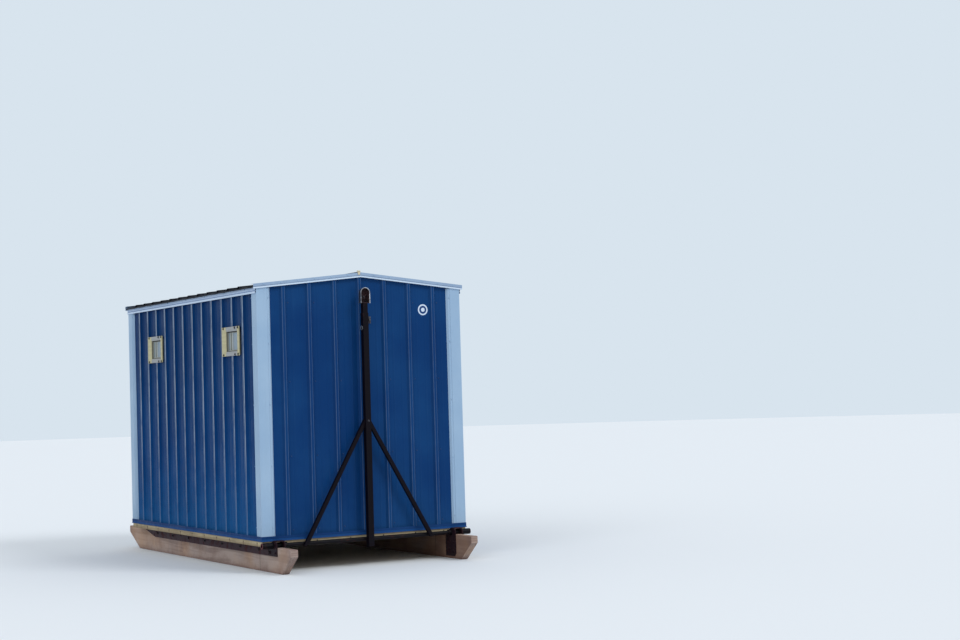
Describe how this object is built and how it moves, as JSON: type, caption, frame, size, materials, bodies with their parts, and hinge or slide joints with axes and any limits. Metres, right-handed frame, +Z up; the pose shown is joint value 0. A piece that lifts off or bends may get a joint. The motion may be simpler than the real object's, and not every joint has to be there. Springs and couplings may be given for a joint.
{
  "type": "ice fishing hut",
  "caption": "Small ribbed-steel fishing hut on timber skids, with small framed windows, a low gable roof and a drawbar folded up against its front gable.",
  "frame": {"origin": "bottom centre of the bounding box, on the skid soles under the middle of the hut", "axes": "+Z up, -Y out of the front gable that carries the drawbar, +X to the right when looking at that gable's outside from the front"},
  "size_m": [1.919, 3.82, 2.4187],
  "materials": {
    "skid_timber": "weathered sawn timber",
    "rust_steel": "dark rusted steel",
    "rim_timber": "cream stained timber",
    "plywood": "plain plywood",
    "wall_lining": "framing with a plywood lining",
    "blue_steel": "blue painted ribbed steel",
    "white_trim": "white painted folded steel",
    "roof_steel": "grey painted ribbed steel",
    "window_cream": "cream moulded frame",
    "window_glass": "clear pane",
    "door_white": "white painted door skin",
    "drawbar_steel": "worn black paint",
    "zinc_steel": "dull zinc plate"
  },
  "bodies": {
    "hut": {"skid_left": "skid_timber", "skid_right": "skid_timber", "rail_left": "rust_steel", "rail_right": "rust_steel", "bracket_left": "rust_steel", "bracket_right": "rust_steel", "floor_frame": "rim_timber", "floor_deck": "plywood", "wall_front": "wall_lining", "wall_rear": "wall_lining", "wall_left": "wall_lining", "wall_right": "wall_lining", "siding_front": "blue_steel", "siding_rear": "blue_steel", "siding_left": "blue_steel", "siding_right": "blue_steel", "base_trim": "blue_steel", "corner_front_left": "white_trim", "corner_front_right": "white_trim", "corner_rear_left": "white_trim", "corner_rear_right": "white_trim", "fascia_left": "white_trim", "fascia_right": "white_trim", "rake_trim_front": "white_trim", "rake_trim_rear": "white_trim", "roof_deck": "plywood", "roof_sheet_left": "roof_steel", "roof_sheet_right": "roof_steel", "ridge_cap": "roof_steel", "window_left_front": "window_cream", "window_left_rear": "window_cream", "window_right_front": "window_cream", "window_right_rear": "window_cream", "glass_left": "window_glass", "glass_right": "window_glass", "door_frame": "white_trim", "door_leaf": "door_white", "mast_keeper": "zinc_steel"},
    "drawbar": {"pivot_pipe": "drawbar_steel", "mast": "drawbar_steel", "inner_tube": "drawbar_steel", "coupler": "zinc_steel", "brace_left": "drawbar_steel", "brace_right": "drawbar_steel", "hitch_pin": "zinc_steel"}
  },
  "joints": [
    {"name": "drawbar_hinge", "type": "hinge", "parent": "hut", "child": "drawbar", "pos_m": [0, -1.588, 0.21915], "axis": [1, 0, 0], "range_deg": [0, 90]}
  ]
}
